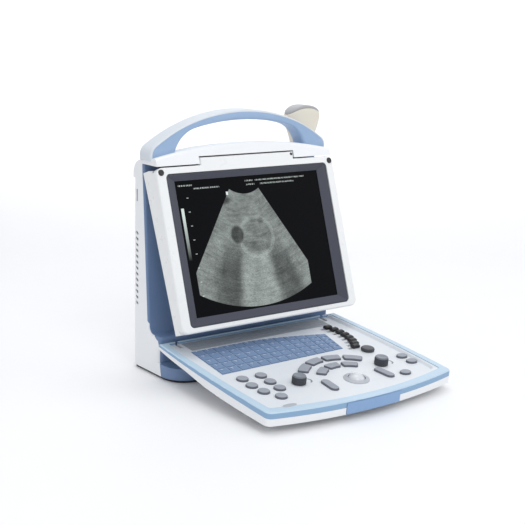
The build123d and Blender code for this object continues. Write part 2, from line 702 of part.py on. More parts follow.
def key_corners(row, column, margin):
    """The four corners of one letter key, pulled in by a margin."""
    step_x, step_v = margin / 16.5, margin / 15.0
    left, right = (column + step_x) / COLUMNS, (column + 1 - step_x) / COLUMNS
    rear, front = (row + step_v) / ROWS, (row + 1 - step_v) / ROWS
    return [
        field_point(left, rear), field_point(right, rear),
        field_point(right, front), field_point(left, front),
    ]


SLIDER_COUNT, SLIDER_ARC_R, SLIDER_CENTRE = 8, 80.5, (31.0, -57.5)
SLIDER_FIRST, SLIDER_STEP = 18.6, -8.13
slider_places = []
for index in range(SLIDER_COUNT):
    angle = radians(SLIDER_FIRST + index * SLIDER_STEP)
    slider_places.append(
        (SLIDER_CENTRE[0] + SLIDER_ARC_R * cos(angle), SLIDER_CENTRE[1] + SLIDER_ARC_R * sin(angle))
    )
SLIDER_TRAVEL = 7.0

ROUND_R = 7.8
round_places = {
    "key_left_1": (-117.5, -130.2), "key_left_2": (-89.0, -131.4), "key_left_3": (-119.0, -152.4),
    "key_left_4": (-90.0, -152.6), "key_left_5": (-116.0, -173.6), "key_left_6": (-91.2, -174.0),
    "key_left_7": (-105.0, -195.0),
}
right_places = [(132.0, -162.0), (131.4, -182.0), (95.0, -207.7)]
encoder_places = {"encoder_left": (-58.5, -171.5), "encoder_right": (85.0, -170.5)}
ENCODER_R, ENCODER_TOP = 9.5, 18.0
GAIN_X, GAIN_V, GAIN_R = 103.0, -123.5, 9.6
set_places = {"set_key_left": (-26.5, -6.0), "set_key_right": (68.0, 6.0)}
SET_LENGTH, SET_WIDTH = 32.0, 12.0
OUTER_ARC = {"radius": 70.0, "half": 7.0, "angles": [38 - 25 * k for k in range(4)], "span": 21.0}
INNER_ARC = {"radius": 46.0, "half": 6.6, "angles": [36 - 33 * k for k in range(3)], "span": 27.0}


def arc_key(ring, angle, grow):
    """An annular key about the trackball; the angle is counted from straight rearwards."""
    low, high = ring["radius"] - ring["half"] - grow, ring["radius"] + ring["half"] + grow
    spread = ring["span"] / 2 + degrees(grow / ring["radius"])
    middle = radians(90 + angle)
    first, last = middle - radians(spread), middle + radians(spread)

    def at(radius, turn):
        return (BALL_X + radius * cos(turn), BALL_V + radius * sin(turn))

    with BuildSketch() as key:
        with BuildLine():
            ThreePointArc(at(high, first), at(high, middle), at(high, last))
            Line(at(high, last), at(low, last))
            ThreePointArc(at(low, last), at(low, middle), at(low, first))
            Line(at(low, first), at(high, first))
        face = make_face()
        fillet(face.vertices(), 2.6 + grow)
    return key.sketch


def control_openings():
    """All the holes that the controls pass through, as one sketch."""
    with BuildSketch() as holes:
        with Locations(*round_places.values()):
            Circle(ROUND_R + KEY_GAP)
        with Locations(*right_places):
            Ellipse(8.2 + KEY_GAP, 6.6 + KEY_GAP)
        for x, turn in set_places.values():
            with Locations((x, -195.5)):
                SlotOverall(
                    SET_LENGTH + 2 * KEY_GAP, SET_WIDTH + 2 * KEY_GAP, rotation=90 + turn
                )
        for ring in (OUTER_ARC, INNER_ARC):
            for angle in ring["angles"]:
                add(arc_key(ring, angle, KEY_GAP))
        with Locations(*encoder_places.values(), (GAIN_X, GAIN_V)):
            Circle(3.4)
        with Locations((BALL_X, BALL_V)):
            Circle(15.2)
        for x, v in slider_places:
            with Locations((x - 1.5, v)):
                SlotOverall(2 * SLIDER_TRAVEL + 6, 2.6)
    return holes.sketch


STRIP_HALF, STRIP_FRONT, STRIP_REAR = 121.0, -20.5, 7.6

with BuildPart() as control_panel:
    with BuildSketch(KEYBOARD.offset(PANEL - 2)):
        add(keyboard_outline(10.7, 12.2, 3.2, 4.8))
    extrude(amount=5.2)
    # shallow recess that holds the controls, with a sloping margin
    with BuildSketch(KEYBOARD.offset(PANEL)):
        add(keyboard_outline(16.5, 20, 3.2, 8))
    extrude(amount=8, taper=-40, mode=Mode.SUBTRACT)
    with BuildSketch(KEYBOARD.offset(-2)):
        with Locations((0, (STRIP_FRONT + STRIP_REAR + 2) / 2)):
            Rectangle(2 * STRIP_HALF, STRIP_REAR + 2 - STRIP_FRONT)
    extrude(amount=14, mode=Mode.SUBTRACT)
    with BuildSketch(KEYBOARD.offset(-2)):
        with BuildLine():
            Polyline(*[field_point(k / 12, 0) for k in range(13)])
            Polyline(field_point(1, 0), field_point(1, 1), field_point(0, 1), field_point(0, 0))
        make_face()
    extrude(amount=14, mode=Mode.SUBTRACT)
    with BuildSketch(KEYBOARD.offset(-2)):
        add(control_openings())
        for side in (-1, 1):
            with Locations((side * HINGE_X, 2)):
                Rectangle(BRACKET_T + 1, 14.4)
    extrude(amount=14, mode=Mode.SUBTRACT)
save(control_panel, "control_panel")

with BuildPart() as hinge_strip:
    with BuildSketch(KEYBOARD.offset(4.9)):
        with Locations((0, (STRIP_FRONT + STRIP_REAR) / 2)):
            Rectangle(2 * STRIP_HALF - 0.4, STRIP_REAR - STRIP_FRONT - 0.4)
    extrude(amount=1.5)
    with BuildSketch(KEYBOARD.offset(5.8)):
        for row in range(3):
            with Locations((0, STRIP_FRONT + 6 + row * 7.5)):
                Rectangle(2 * STRIP_HALF - 8, 1.2)
    extrude(amount=2, mode=Mode.SUBTRACT)
save(hinge_strip, "hinge_strip")

with BuildPart() as key_bed:
    with BuildSketch(KEYBOARD.offset(PANEL - 2)):
        with BuildLine():
            Polyline(*[field_point(k / 12, 0) for k in range(13)])
            Polyline(field_point(1, 0), field_point(1, 1), field_point(0, 1), field_point(0, 0))
        make_face()
        offset(amount=-0.15, kind=Kind.INTERSECTION, mode=Mode.REPLACE)
    extrude(amount=2.2)
    with BuildSketch(KEYBOARD.offset(-2)):
        for row in range(ROWS):
            for column in range(COLUMNS):
                with BuildLine():
                    Polyline(*key_corners(row, column, 0.7), close=True)
                make_face()
    extrude(amount=14, mode=Mode.SUBTRACT)
save(key_bed, "key_bed")

with BuildPart() as alphanumeric_keys:
    for row in range(ROWS):
        for column in range(COLUMNS):
            with BuildSketch(KEYBOARD.offset(KEY_LOW)):
                with BuildLine():
                    Polyline(*key_corners(row, column, 1.0), close=True)
                make_face()
            extrude(amount=3.0)
            with BuildSketch(KEYBOARD.offset(KEY_LOW + 3.0)):
                with BuildLine():
                    Polyline(*key_corners(row, column, 1.0), close=True)
                make_face()
            extrude(amount=1.3, taper=35)
save(alphanumeric_keys, "alphanumeric_keys")

with BuildPart() as keyboard_board:
    with BuildSketch(KEYBOARD.offset(1.0)):
        with Locations((0, -145)):
            Rectangle(284, 146)
        with Locations((BALL_X, BALL_V)):
            Circle(16.5, mode=Mode.SUBTRACT)
    extrude(amount=1.2)
save(keyboard_board, "keyboard_board")

with BuildPart() as keyboard_feet:
    with BuildSketch():
        for x in (-122, 122):
            with Locations((x, -228)):
                SlotOverall(26, 14)
    extrude(amount=20)
    split(bisect_by=KEYBOARD.offset(UNDER_FLAT - 0.02), keep=Keep.BOTTOM)
save(keyboard_feet, "keyboard_feet")

with BuildPart() as trackball_ring:
    with BuildSketch(Plane.XZ.offset(0)) as ring_profile:
        with BuildLine():
            Polyline(
                (17.4, PANEL), (17.0, PANEL + 1.2), (12.6, PANEL + 2.6), (11.6, PANEL + 2.0),
                (12.8, PANEL - 1.0), (14.9, PANEL - 2), (14.9, PANEL), close=True,
            )
        make_face()
    revolve(axis=Axis.Z)
ring_at_ball = KEYBOARD.location * Location((BALL_X, BALL_V, 0))
trackball_ring.part.label = "trackball_ring"
placed_ring = ring_at_ball * trackball_ring.part
placed_ring.label = "trackball_ring"
export_step(placed_ring, "parts/trackball_ring.step")

with BuildPart(KEYBOARD) as trackball:
    with Locations((BALL_X, BALL_V, BALL_N)):
        Sphere(BALL_R)
save(trackball, "trackball")

# ---------------------------------------------------------------- keys, knobs and sliders
KEY_TOP = 8.9


def press_key(name, sketches):
    """One press key, or a bank of them, with rounded top edges."""
    with BuildPart() as key:
        for outline in sketches:
            with BuildSketch(KEYBOARD.offset(KEY_LOW)):
                add(outline)
            extrude(amount=KEY_TOP - KEY_LOW)
        cap_faces = [f for f in key.faces() if f.normal_at().dot(KEYBOARD.z_dir) > 0.99]
        fillet([edge for f in cap_faces for edge in f.edges()], 1.1)
    save(key, name)


for name, place in round_places.items():
    with BuildSketch() as outline:
        with Locations(place):
            Circle(ROUND_R)
    press_key(name, [outline.sketch])

for name, (x, turn) in set_places.items():
    with BuildSketch() as outline:
        with Locations((x, -195.5)):
            SlotOverall(SET_LENGTH, SET_WIDTH, rotation=90 + turn)
    press_key(name, [outline.sketch])

right_outlines = []
for place in right_places:
    with BuildSketch() as outline:
        with Locations(place):
            Ellipse(8.2, 6.6)
    right_outlines.append(outline.sketch)
press_key("keys_right", right_outlines)
press_key("keys_arc_outer", [arc_key(OUTER_ARC, angle, 0) for angle in OUTER_ARC["angles"]])
press_key("keys_arc_inner", [arc_key(INNER_ARC, angle, 0) for angle in INNER_ARC["angles"]])

def top_face(builder):
    """The flat face that stands furthest out of the panel."""
    return max(
        builder.faces().filter_by(GeomType.PLANE), key=lambda f: f.center().dot(KEYBOARD.z_dir)
    )


KNOB_LOW = PANEL + 0.4
for name, (x, v) in encoder_places.items():
    with BuildPart(KEYBOARD) as encoder:
        with Locations((x, v, (KEY_LOW + KNOB_LOW) / 2)):
            Cylinder(3.0, KNOB_LOW - KEY_LOW)
        with Locations((x, v, (KNOB_LOW + ENCODER_TOP) / 2)):
            Cylinder(ENCODER_R, ENCODER_TOP - KNOB_LOW)
        chamfer(top_face(encoder).edges(), 1.0)
    save(encoder, name)

with BuildPart(KEYBOARD) as gain_knob:
    with Locations((GAIN_X, GAIN_V, (KEY_LOW + KNOB_LOW) / 2)):
        Cylinder(3.0, KNOB_LOW - KEY_LOW)
    with Locations((GAIN_X, GAIN_V, KNOB_LOW + 2.4)):
        Cylinder(GAIN_R, 4.8)
    chamfer(top_face(gain_knob).edges(), 1.0)
save(gain_knob, "gain_knob")

for index, (x, v) in enumerate(slider_places):
    with BuildPart(KEYBOARD) as slider:
        with Locations((x, v, (KEY_LOW + KNOB_LOW) / 2)):
            Box(2.0, 1.8, KNOB_LOW - KEY_LOW)
        with Locations((x, v, KNOB_LOW + 2.4)):
            Box(12.0, 7.6, 4.8)
        chamfer(top_face(slider).edges(), 1.4)
    save(slider, "gain_slider_" + str(index + 1))

# ---------------------------------------------------------------- latch
with BuildPart() as latch:
    with BuildSketch(KEYBOARD.offset(UNDER_FLAT + 0.3)):
        add(keyboard_outline(0, -0.6, 0, 9))
        add(keyboard_outline(0, LATCH_T - 0.6, 0, 9), mode=Mode.SUBTRACT)
        with Locations((0, KEY_FRONT)):
            Rectangle(2 * LATCH_HALF, 60, mode=Mode.INTERSECT)
    extrude(amount=LATCH_TOP - UNDER_FLAT - 0.3)
save(latch, "latch")

# ---------------------------------------------------------------- keyboard hinges
BRACKET_R = 4.0
with BuildPart() as keyboard_hinges:
    for side in (-1, 1):
        with BuildSketch(Plane.YZ.offset(side * HINGE_X - BRACKET_T / 2)):
            with Locations((HINGE_Y, HINGE_Z)):
                Circle(BRACKET_R)
            with Locations(((HINGE_Y - 6) / 2, HINGE_Z)):
                Rectangle(-6 - HINGE_Y, 2 * BRACKET_R)
        extrude(amount=BRACKET_T)
        with BuildSketch(Plane.YZ.offset(side * HINGE_X - 9)):
            with Locations((HINGE_Y, HINGE_Z)):
                Circle(PIN_R)
        extrude(amount=18)
save(keyboard_hinges, "keyboard_hinges")

# ---------------------------------------------------------------- probe and its holder
RING_LOW, RING_HIGH = 276.0, 294.0
with BuildPart() as probe_holder:
    with BuildSketch(Plane.XY.offset(RING_LOW)):
        with Locations((PROBE_X, PROBE_Y)):
            RectangleRounded(46, 30.0, 13)
        with Locations((PROBE_X - 14, PROBE_Y - 8.5)):
            Rectangle(34, 12.6)
        with Locations((PROBE_X, PROBE_Y)):
            RectangleRounded(38, 25, 11, mode=Mode.SUBTRACT)
        with Locations((PROBE_X, PROBE_Y + 14)):
            Rectangle(11, 14, mode=Mode.SUBTRACT)
    extrude(amount=RING_HIGH - RING_LOW)
    with Locations((132, REAR + 1.6, 270)):
        Box(26, 2.9, 48)
    with Locations((0, REAR - 50 + 0.1, 280)):
        Box(400, 100, 100, mode=Mode.SUBTRACT)
save(probe_holder, "probe_holder")

SECTIONS = [(236, 20, 17), (262, 27, 20), (294, 34, 22), (314, 48, 25), (338, 64, 27)]
HEAD_WIDTH, HEAD_DEPTH, HEAD_LOW, HEAD_TOP, HEAD_R = 64.0, 25.0, 337.5, 356.5, 52.0
LENS_THICK = 4.5


def head_block(drop):
    """The probe's head up to the lens's arc, lowered by this much."""
    with BuildPart() as block:
        with BuildSketch(Plane.XY.offset(HEAD_LOW)):
            with Locations((PROBE_X, PROBE_Y)):
                RectangleRounded(HEAD_WIDTH, HEAD_DEPTH, 10)
        extrude(amount=30)
        with Locations((PROBE_X, PROBE_Y, HEAD_TOP - drop - HEAD_R)):
            Cylinder(HEAD_R, 60, rotation=(90, 0, 0), mode=Mode.INTERSECT)
    return block.part


head_outer = head_block(0)
head_core = head_block(LENS_THICK)

with BuildPart() as probe_body:
    for z, width, depth in SECTIONS:
        with BuildSketch(Plane.XY.offset(z)):
            with Locations((PROBE_X, PROBE_Y)):
                RectangleRounded(width, depth, depth / 2 - 1.5)
    loft()
    add(head_core)
save(probe_body, "probe_body")

with BuildPart() as probe_lens:
    add(head_outer)
    add(head_core, mode=Mode.SUBTRACT)
save(probe_lens, "probe_lens")
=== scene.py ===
import json
import math

import bmesh
import bpy
from mathutils import Matrix, Vector


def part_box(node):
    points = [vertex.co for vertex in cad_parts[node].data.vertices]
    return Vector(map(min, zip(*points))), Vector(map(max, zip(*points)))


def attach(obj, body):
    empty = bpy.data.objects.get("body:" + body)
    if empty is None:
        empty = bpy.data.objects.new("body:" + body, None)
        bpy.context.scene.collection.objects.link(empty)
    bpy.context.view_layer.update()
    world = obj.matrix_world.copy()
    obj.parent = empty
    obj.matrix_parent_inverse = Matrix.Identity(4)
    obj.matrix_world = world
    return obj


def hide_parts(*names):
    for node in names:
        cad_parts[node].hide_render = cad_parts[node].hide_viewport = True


# A portable ultrasound scanner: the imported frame, its finishes and the detailed pieces
# that stand for its plain solids. Metres, +Z up, the user stands on the -Y side.
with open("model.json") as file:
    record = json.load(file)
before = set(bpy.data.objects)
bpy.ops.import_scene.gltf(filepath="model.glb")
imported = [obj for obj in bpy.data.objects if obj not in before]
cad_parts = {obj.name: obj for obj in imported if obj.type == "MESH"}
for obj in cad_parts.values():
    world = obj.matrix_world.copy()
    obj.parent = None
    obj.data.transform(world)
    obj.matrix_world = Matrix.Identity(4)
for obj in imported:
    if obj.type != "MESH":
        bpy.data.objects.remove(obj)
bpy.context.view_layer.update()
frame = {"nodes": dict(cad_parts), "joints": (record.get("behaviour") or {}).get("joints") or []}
nodes = frame["nodes"]
MM = 0.001

# ---------------------------------------------------------------- places from the frame
joints = {joint["name"]: joint for joint in frame["joints"]}
PANEL_NORMAL = Vector(joints["gain_turn"]["axis"]).normalized()
PANEL_BACK = Vector((0, PANEL_NORMAL.z, -PANEL_NORMAL.y))
HINGE = Vector(joints["keyboard_fold"]["pos_m"])
TILT = math.radians(joints["monitor_tilt"]["range_deg"][1])
SCREEN_UP = Vector((0, math.sin(TILT), math.cos(TILT)))
SCREEN_OUT = Vector((0, -math.cos(TILT), math.sin(TILT)))


def box_centre(name):
    """The middle of a CAD node's box."""
    low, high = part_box(name)
    return (low + high) / 2


LCD_DEPTH = 6 * MM
SCREEN_CENTRE = box_centre("lcd_panel") + SCREEN_OUT * LCD_DEPTH / 2


def panel_point(x, back, out):
    """A point given in the keyboard's own millimetres: across, rearwards and out of the panel."""
    return HINGE + Vector((x * MM, 0, 0)) + PANEL_BACK * back * MM + PANEL_NORMAL * out * MM


PANEL_AXES = Matrix((Vector((1, 0, 0)), PANEL_BACK, PANEL_NORMAL)).transposed()


# ---------------------------------------------------------------- node helpers
class Graph:
    """Builds one material's node tree with short calls."""

    def __init__(self, name):
        self.material = bpy.data.materials.new(name)
        self.material.use_nodes = True
        self.tree = self.material.node_tree
        self.shader = self.tree.nodes["Principled BSDF"]
        self.place = self.tree.nodes.new("ShaderNodeTexCoord").outputs["Object"]

    def join(self, source, socket):
        """Links an output to a socket, or sets the socket to a constant."""
        if isinstance(source, bpy.types.NodeSocket):
            self.tree.links.new(source, socket)
        else:
            socket.default_value = source

    def noise(self, scale, detail=3.0, place=None, roughness=0.5):
        texture = self.tree.nodes.new("ShaderNodeTexNoise")
        self.join(place or self.place, texture.inputs["Vector"])
        texture.inputs["Scale"].default_value = scale
        texture.inputs["Detail"].default_value = detail
        texture.inputs["Roughness"].default_value = roughness
        return texture.outputs["Fac"]

    def calc(self, operation, first, second=0.0, third=0.0, clamp=False):
        step = self.tree.nodes.new("ShaderNodeMath")
        step.operation = operation
        step.use_clamp = clamp
        for value, socket in zip((first, second, third), step.inputs):
            self.join(value, socket)
        return step.outputs["Value"]

    def span(self, value, low, high, to_low=0.0, to_high=1.0, smooth=False):
        """Maps a value from one range to another, clamped."""
        step = self.tree.nodes.new("ShaderNodeMapRange")
        step.interpolation_type = "SMOOTHSTEP" if smooth else "LINEAR"
        for value, socket in zip((value, low, high, to_low, to_high), step.inputs):
            self.join(value, socket)
        return step.outputs["Result"]

    def vector(self, operation, first, second):
        step = self.tree.nodes.new("ShaderNodeVectorMath")
        step.operation = operation
        self.join(first, step.inputs[0])
        self.join(second, step.inputs[1])
        return step.outputs["Value" if operation == "DOT_PRODUCT" else "Vector"]

    def combine(self, x, y, z=0.0):
        step = self.tree.nodes.new("ShaderNodeCombineXYZ")
        for value, socket in zip((x, y, z), step.inputs):
            self.join(value, socket)
        return step.outputs["Vector"]

    def mix(self, factor, first, second):
        step = self.tree.nodes.new("ShaderNodeMix")
        step.data_type = "RGBA"
        self.join(factor, step.inputs[0])
        self.join(first, step.inputs[6])
        self.join(second, step.inputs[7])
        return step.outputs[2]

    def bump(self, height, distance, strength=1.0, rounding=0.0):
        step = self.tree.nodes.new("ShaderNodeBump")
        step.inputs["Strength"].default_value = strength
        step.inputs["Distance"].default_value = distance
        self.join(height, step.inputs["Height"])
        if rounding:
            edge = self.tree.nodes.new("ShaderNodeBevel")
            edge.samples = 4
            edge.inputs["Radius"].default_value = rounding
            self.join(edge.outputs["Normal"], step.inputs["Normal"])
        self.join(step.outputs["Normal"], self.shader.inputs["Normal"])


def shade(colour, factor):
    """A colour made lighter or darker."""
    return (*[min(1.0, channel * factor) for channel in colour[:3]], 1.0)


def srgb(red, green, blue):
    """A linear colour from the usual 0 to 255 display values."""

    def linear(value):
        value /= 255
        return value / 12.92 if value <= 0.04045 else ((value + 0.055) / 1.055) ** 2.4

    return (linear(red), linear(green), linear(blue), 1.0)


def painted_lit_top(graph, tint, top, spread):
    """Painted lit tops: mixes in a paler second colour on the faces that look out of the control panel,
    standing in for the light that falls on them.
    """
    direction = graph.tree.nodes.new("ShaderNodeTexCoord").outputs["Normal"]
    upward = graph.vector("DOT_PRODUCT", direction, tuple(PANEL_NORMAL))
    painted_lit_tone = graph.mix(graph.noise(90.0, 4.0), shade(top, 1 - spread), shade(top, 1 + spread))
    return graph.mix(graph.span(upward, 0.72, 0.97, smooth=True), tint, painted_lit_tone)


def painted_lit_above(graph, tint, top, spread, level):
    """Painted lit tops: mixes in a paler second colour above a height out of the control panel, in
    millimetres, standing in for the light that falls on the top faces.
    """
    offset = graph.vector("SUBTRACT", graph.place, tuple(HINGE))
    height = graph.calc("MULTIPLY", graph.vector("DOT_PRODUCT", offset, tuple(PANEL_NORMAL)), 1000.0)
    painted_lit_tone = graph.mix(graph.noise(90.0, 4.0), shade(top, 1 - spread), shade(top, 1 + spread))
    return graph.mix(graph.span(height, level - 0.15, level + 0.15, smooth=True), tint, painted_lit_tone)


def plastic(name, colour, roughness=0.38, tone=0.035, grain=1400.0, depth=0.00003, coat=0.0,
            rounding=0.0005, top=None, level=None):
    """Moulded plastic: a fine spark-eroded grain, faint cloudy tone and uneven gloss."""
    graph = Graph(name)
    cloud = graph.noise(14.0, 4.0)
    speck = graph.noise(420.0, 2.0)
    both = graph.calc("MULTIPLY_ADD", speck, 0.25, graph.calc("MULTIPLY", cloud, 0.75))
    tint = graph.mix(both, shade(colour, 1 - tone), shade(colour, 1 + tone))
    # painted lit top: the top colour above the given level stands in for the light falling on the top faces
    if top:
        tint = painted_lit_above(graph, tint, top, tone, level)
    graph.join(tint, graph.shader.inputs["Base Color"])
    uneven = graph.noise(55.0, 5.0, roughness=0.65)
    graph.join(
        graph.span(uneven, 0.3, 0.7, roughness - 0.05, roughness + 0.06),
        graph.shader.inputs["Roughness"],
    )
    graph.bump(graph.noise(grain, 2.0), depth, rounding=rounding)
    graph.shader.inputs["Coat Weight"].default_value = coat
    graph.shader.inputs["Coat Roughness"].default_value = 0.2
    return graph.material


def rubber(name, colour, roughness=0.7, top=None):
    """Silicone or rubber: matt with a soft sheen; press keys get a painted lit tone on their top faces,
    standing in for the light that falls on them.
    """
    graph = Graph(name)
    tint = graph.mix(graph.noise(60.0, 4.0), shade(colour, 0.9), shade(colour, 1.1))
    # painted lit top: the top colour on faces looking out of the panel stands in for the light falling on
    # them
    if top:
        tint = painted_lit_top(graph, tint, top, 0.06)
    graph.join(tint, graph.shader.inputs["Base Color"])
    graph.join(
        graph.span(graph.noise(120.0, 3.0), 0.3, 0.7, roughness - 0.06, roughness + 0.06),
        graph.shader.inputs["Roughness"],
    )
    graph.shader.inputs["Sheen Weight"].default_value = 0.12
    graph.bump(graph.noise(900.0, 3.0), 0.00004, rounding=0.0003)
    return graph.material


def metal(name, colour, roughness=0.32, stretch=(1.0, 14.0, 14.0)):
    """Brushed or plated metal with fine drawn lines."""
    graph = Graph(name)
    lines = graph.noise(220.0, 3.0, place=graph.vector("MULTIPLY", graph.place, stretch))
    tint = graph.mix(lines, shade(colour, 0.85), shade(colour, 1.1))
    graph.join(tint, graph.shader.inputs["Base Color"])
    graph.shader.inputs["Metallic"].default_value = 1.0
    gloss = graph.span(lines, 0.2, 0.8, roughness - 0.08, roughness + 0.1)
    graph.join(gloss, graph.shader.inputs["Roughness"])
    graph.bump(lines, 0.00002, rounding=0.0003)
    return graph.material


WHITE = srgb(236, 238, 240)
CASE_WHITE = plastic("case_white", WHITE, 0.33, 0.02)
FRAME_WHITE = plastic("frame_white", srgb(234, 235, 235), 0.3, 0.02)
PANEL_WHITE = plastic("panel_white", srgb(222, 226, 231), 0.42, 0.025, grain=1900.0)
COVER_BLUE = plastic("cover_blue", srgb(108, 132, 168), 0.45, 0.05, grain=1100.0, depth=0.00005)
HANDLE_BLUE = plastic("handle_blue", srgb(150, 176, 208), 0.42, 0.04, grain=1100.0)
# painted lit tone: the handle's top skin gets this paler colour for the light that falls on its top
HANDLE_PAINTED_LIT = plastic("handle_light", srgb(212, 218, 224), 0.5, 0.03, grain=1500.0)
# painted lit top: the trim's paler top colour above 8.9 mm stands in for the light on its top faces
TRIM_BLUE = plastic("trim_blue", srgb(134, 168, 200), 0.4, 0.03, top=srgb(188, 210, 227), level=8.9)
LATCH_BLUE = plastic("latch_blue", srgb(132, 164, 204), 0.36, 0.04)
FIELD_BLUE = plastic("field_blue", srgb(150, 172, 200), 0.5, 0.04, rounding=0.0002)
# painted shade: the hinge strip is given a grey for the shade under the monitor's overhang
STRIP_PAINTED_SHADE = plastic("strip_grey", srgb(160, 165, 172), 0.5, 0.05, grain=1800.0)
BEZEL_DARK = plastic("bezel_dark", srgb(58, 61, 74), 0.4, 0.07, grain=1700.0)
BLACK = plastic("black_plastic", srgb(34, 35, 38), 0.45, 0.12)
PROBE_BEIGE = plastic("probe_beige", srgb(224, 218, 204), 0.34, 0.02)
# painted lit tops: the press keys' paler top colours stand in for the light on their top faces
KEY_BLUE = rubber("key_blue", srgb(90, 115, 150), 0.55, top=srgb(112, 138, 174))
KEY_GREY = rubber("key_grey", srgb(98, 102, 112), 0.6, top=srgb(152, 157, 167))
RING_GREY = plastic("ring_grey", srgb(180, 184, 191), 0.35, 0.04)
BALL_WHITE = plastic("ball_white", srgb(212, 215, 220), 0.16, 0.03, depth=0.000005, coat=0.6, rounding=0.0)
MARK_GREY = plastic("mark_grey", srgb(132, 138, 147), 0.5, 0.05, rounding=0.0)
MARK_PALE = plastic("mark_pale", srgb(222, 230, 240), 0.5, 0.05, rounding=0.0)
KNOB_DARK = plastic("knob_dark", srgb(58, 61, 67), 0.5, 0.08, rounding=0.0)
RUBBER_DARK = rubber("rubber_dark", srgb(48, 46, 48), 0.75)
LENS_GREY = rubber("lens_grey", srgb(168, 168, 170), 0.42)
# painted lit tops: the knob caps' paler top colours stand in for the light on their top faces
CAP_GREY = rubber("cap_grey", srgb(112, 118, 127), 0.5, top=srgb(128, 134, 143))
CAP_DARK = rubber("cap_dark", srgb(60, 62, 68), 0.5, top=srgb(74, 77, 84))
STEEL = metal("steel", srgb(180, 182, 186))
SCREW_STEEL = metal("screw_steel", srgb(150, 152, 156), 0.4)
SUPPLY_METAL = metal("supply_metal", srgb(190, 192, 194), 0.4, (14.0, 1.0, 1.0))
BOARD_GREEN = plastic("board_green", srgb(30, 96, 58), 0.35, 0.1)


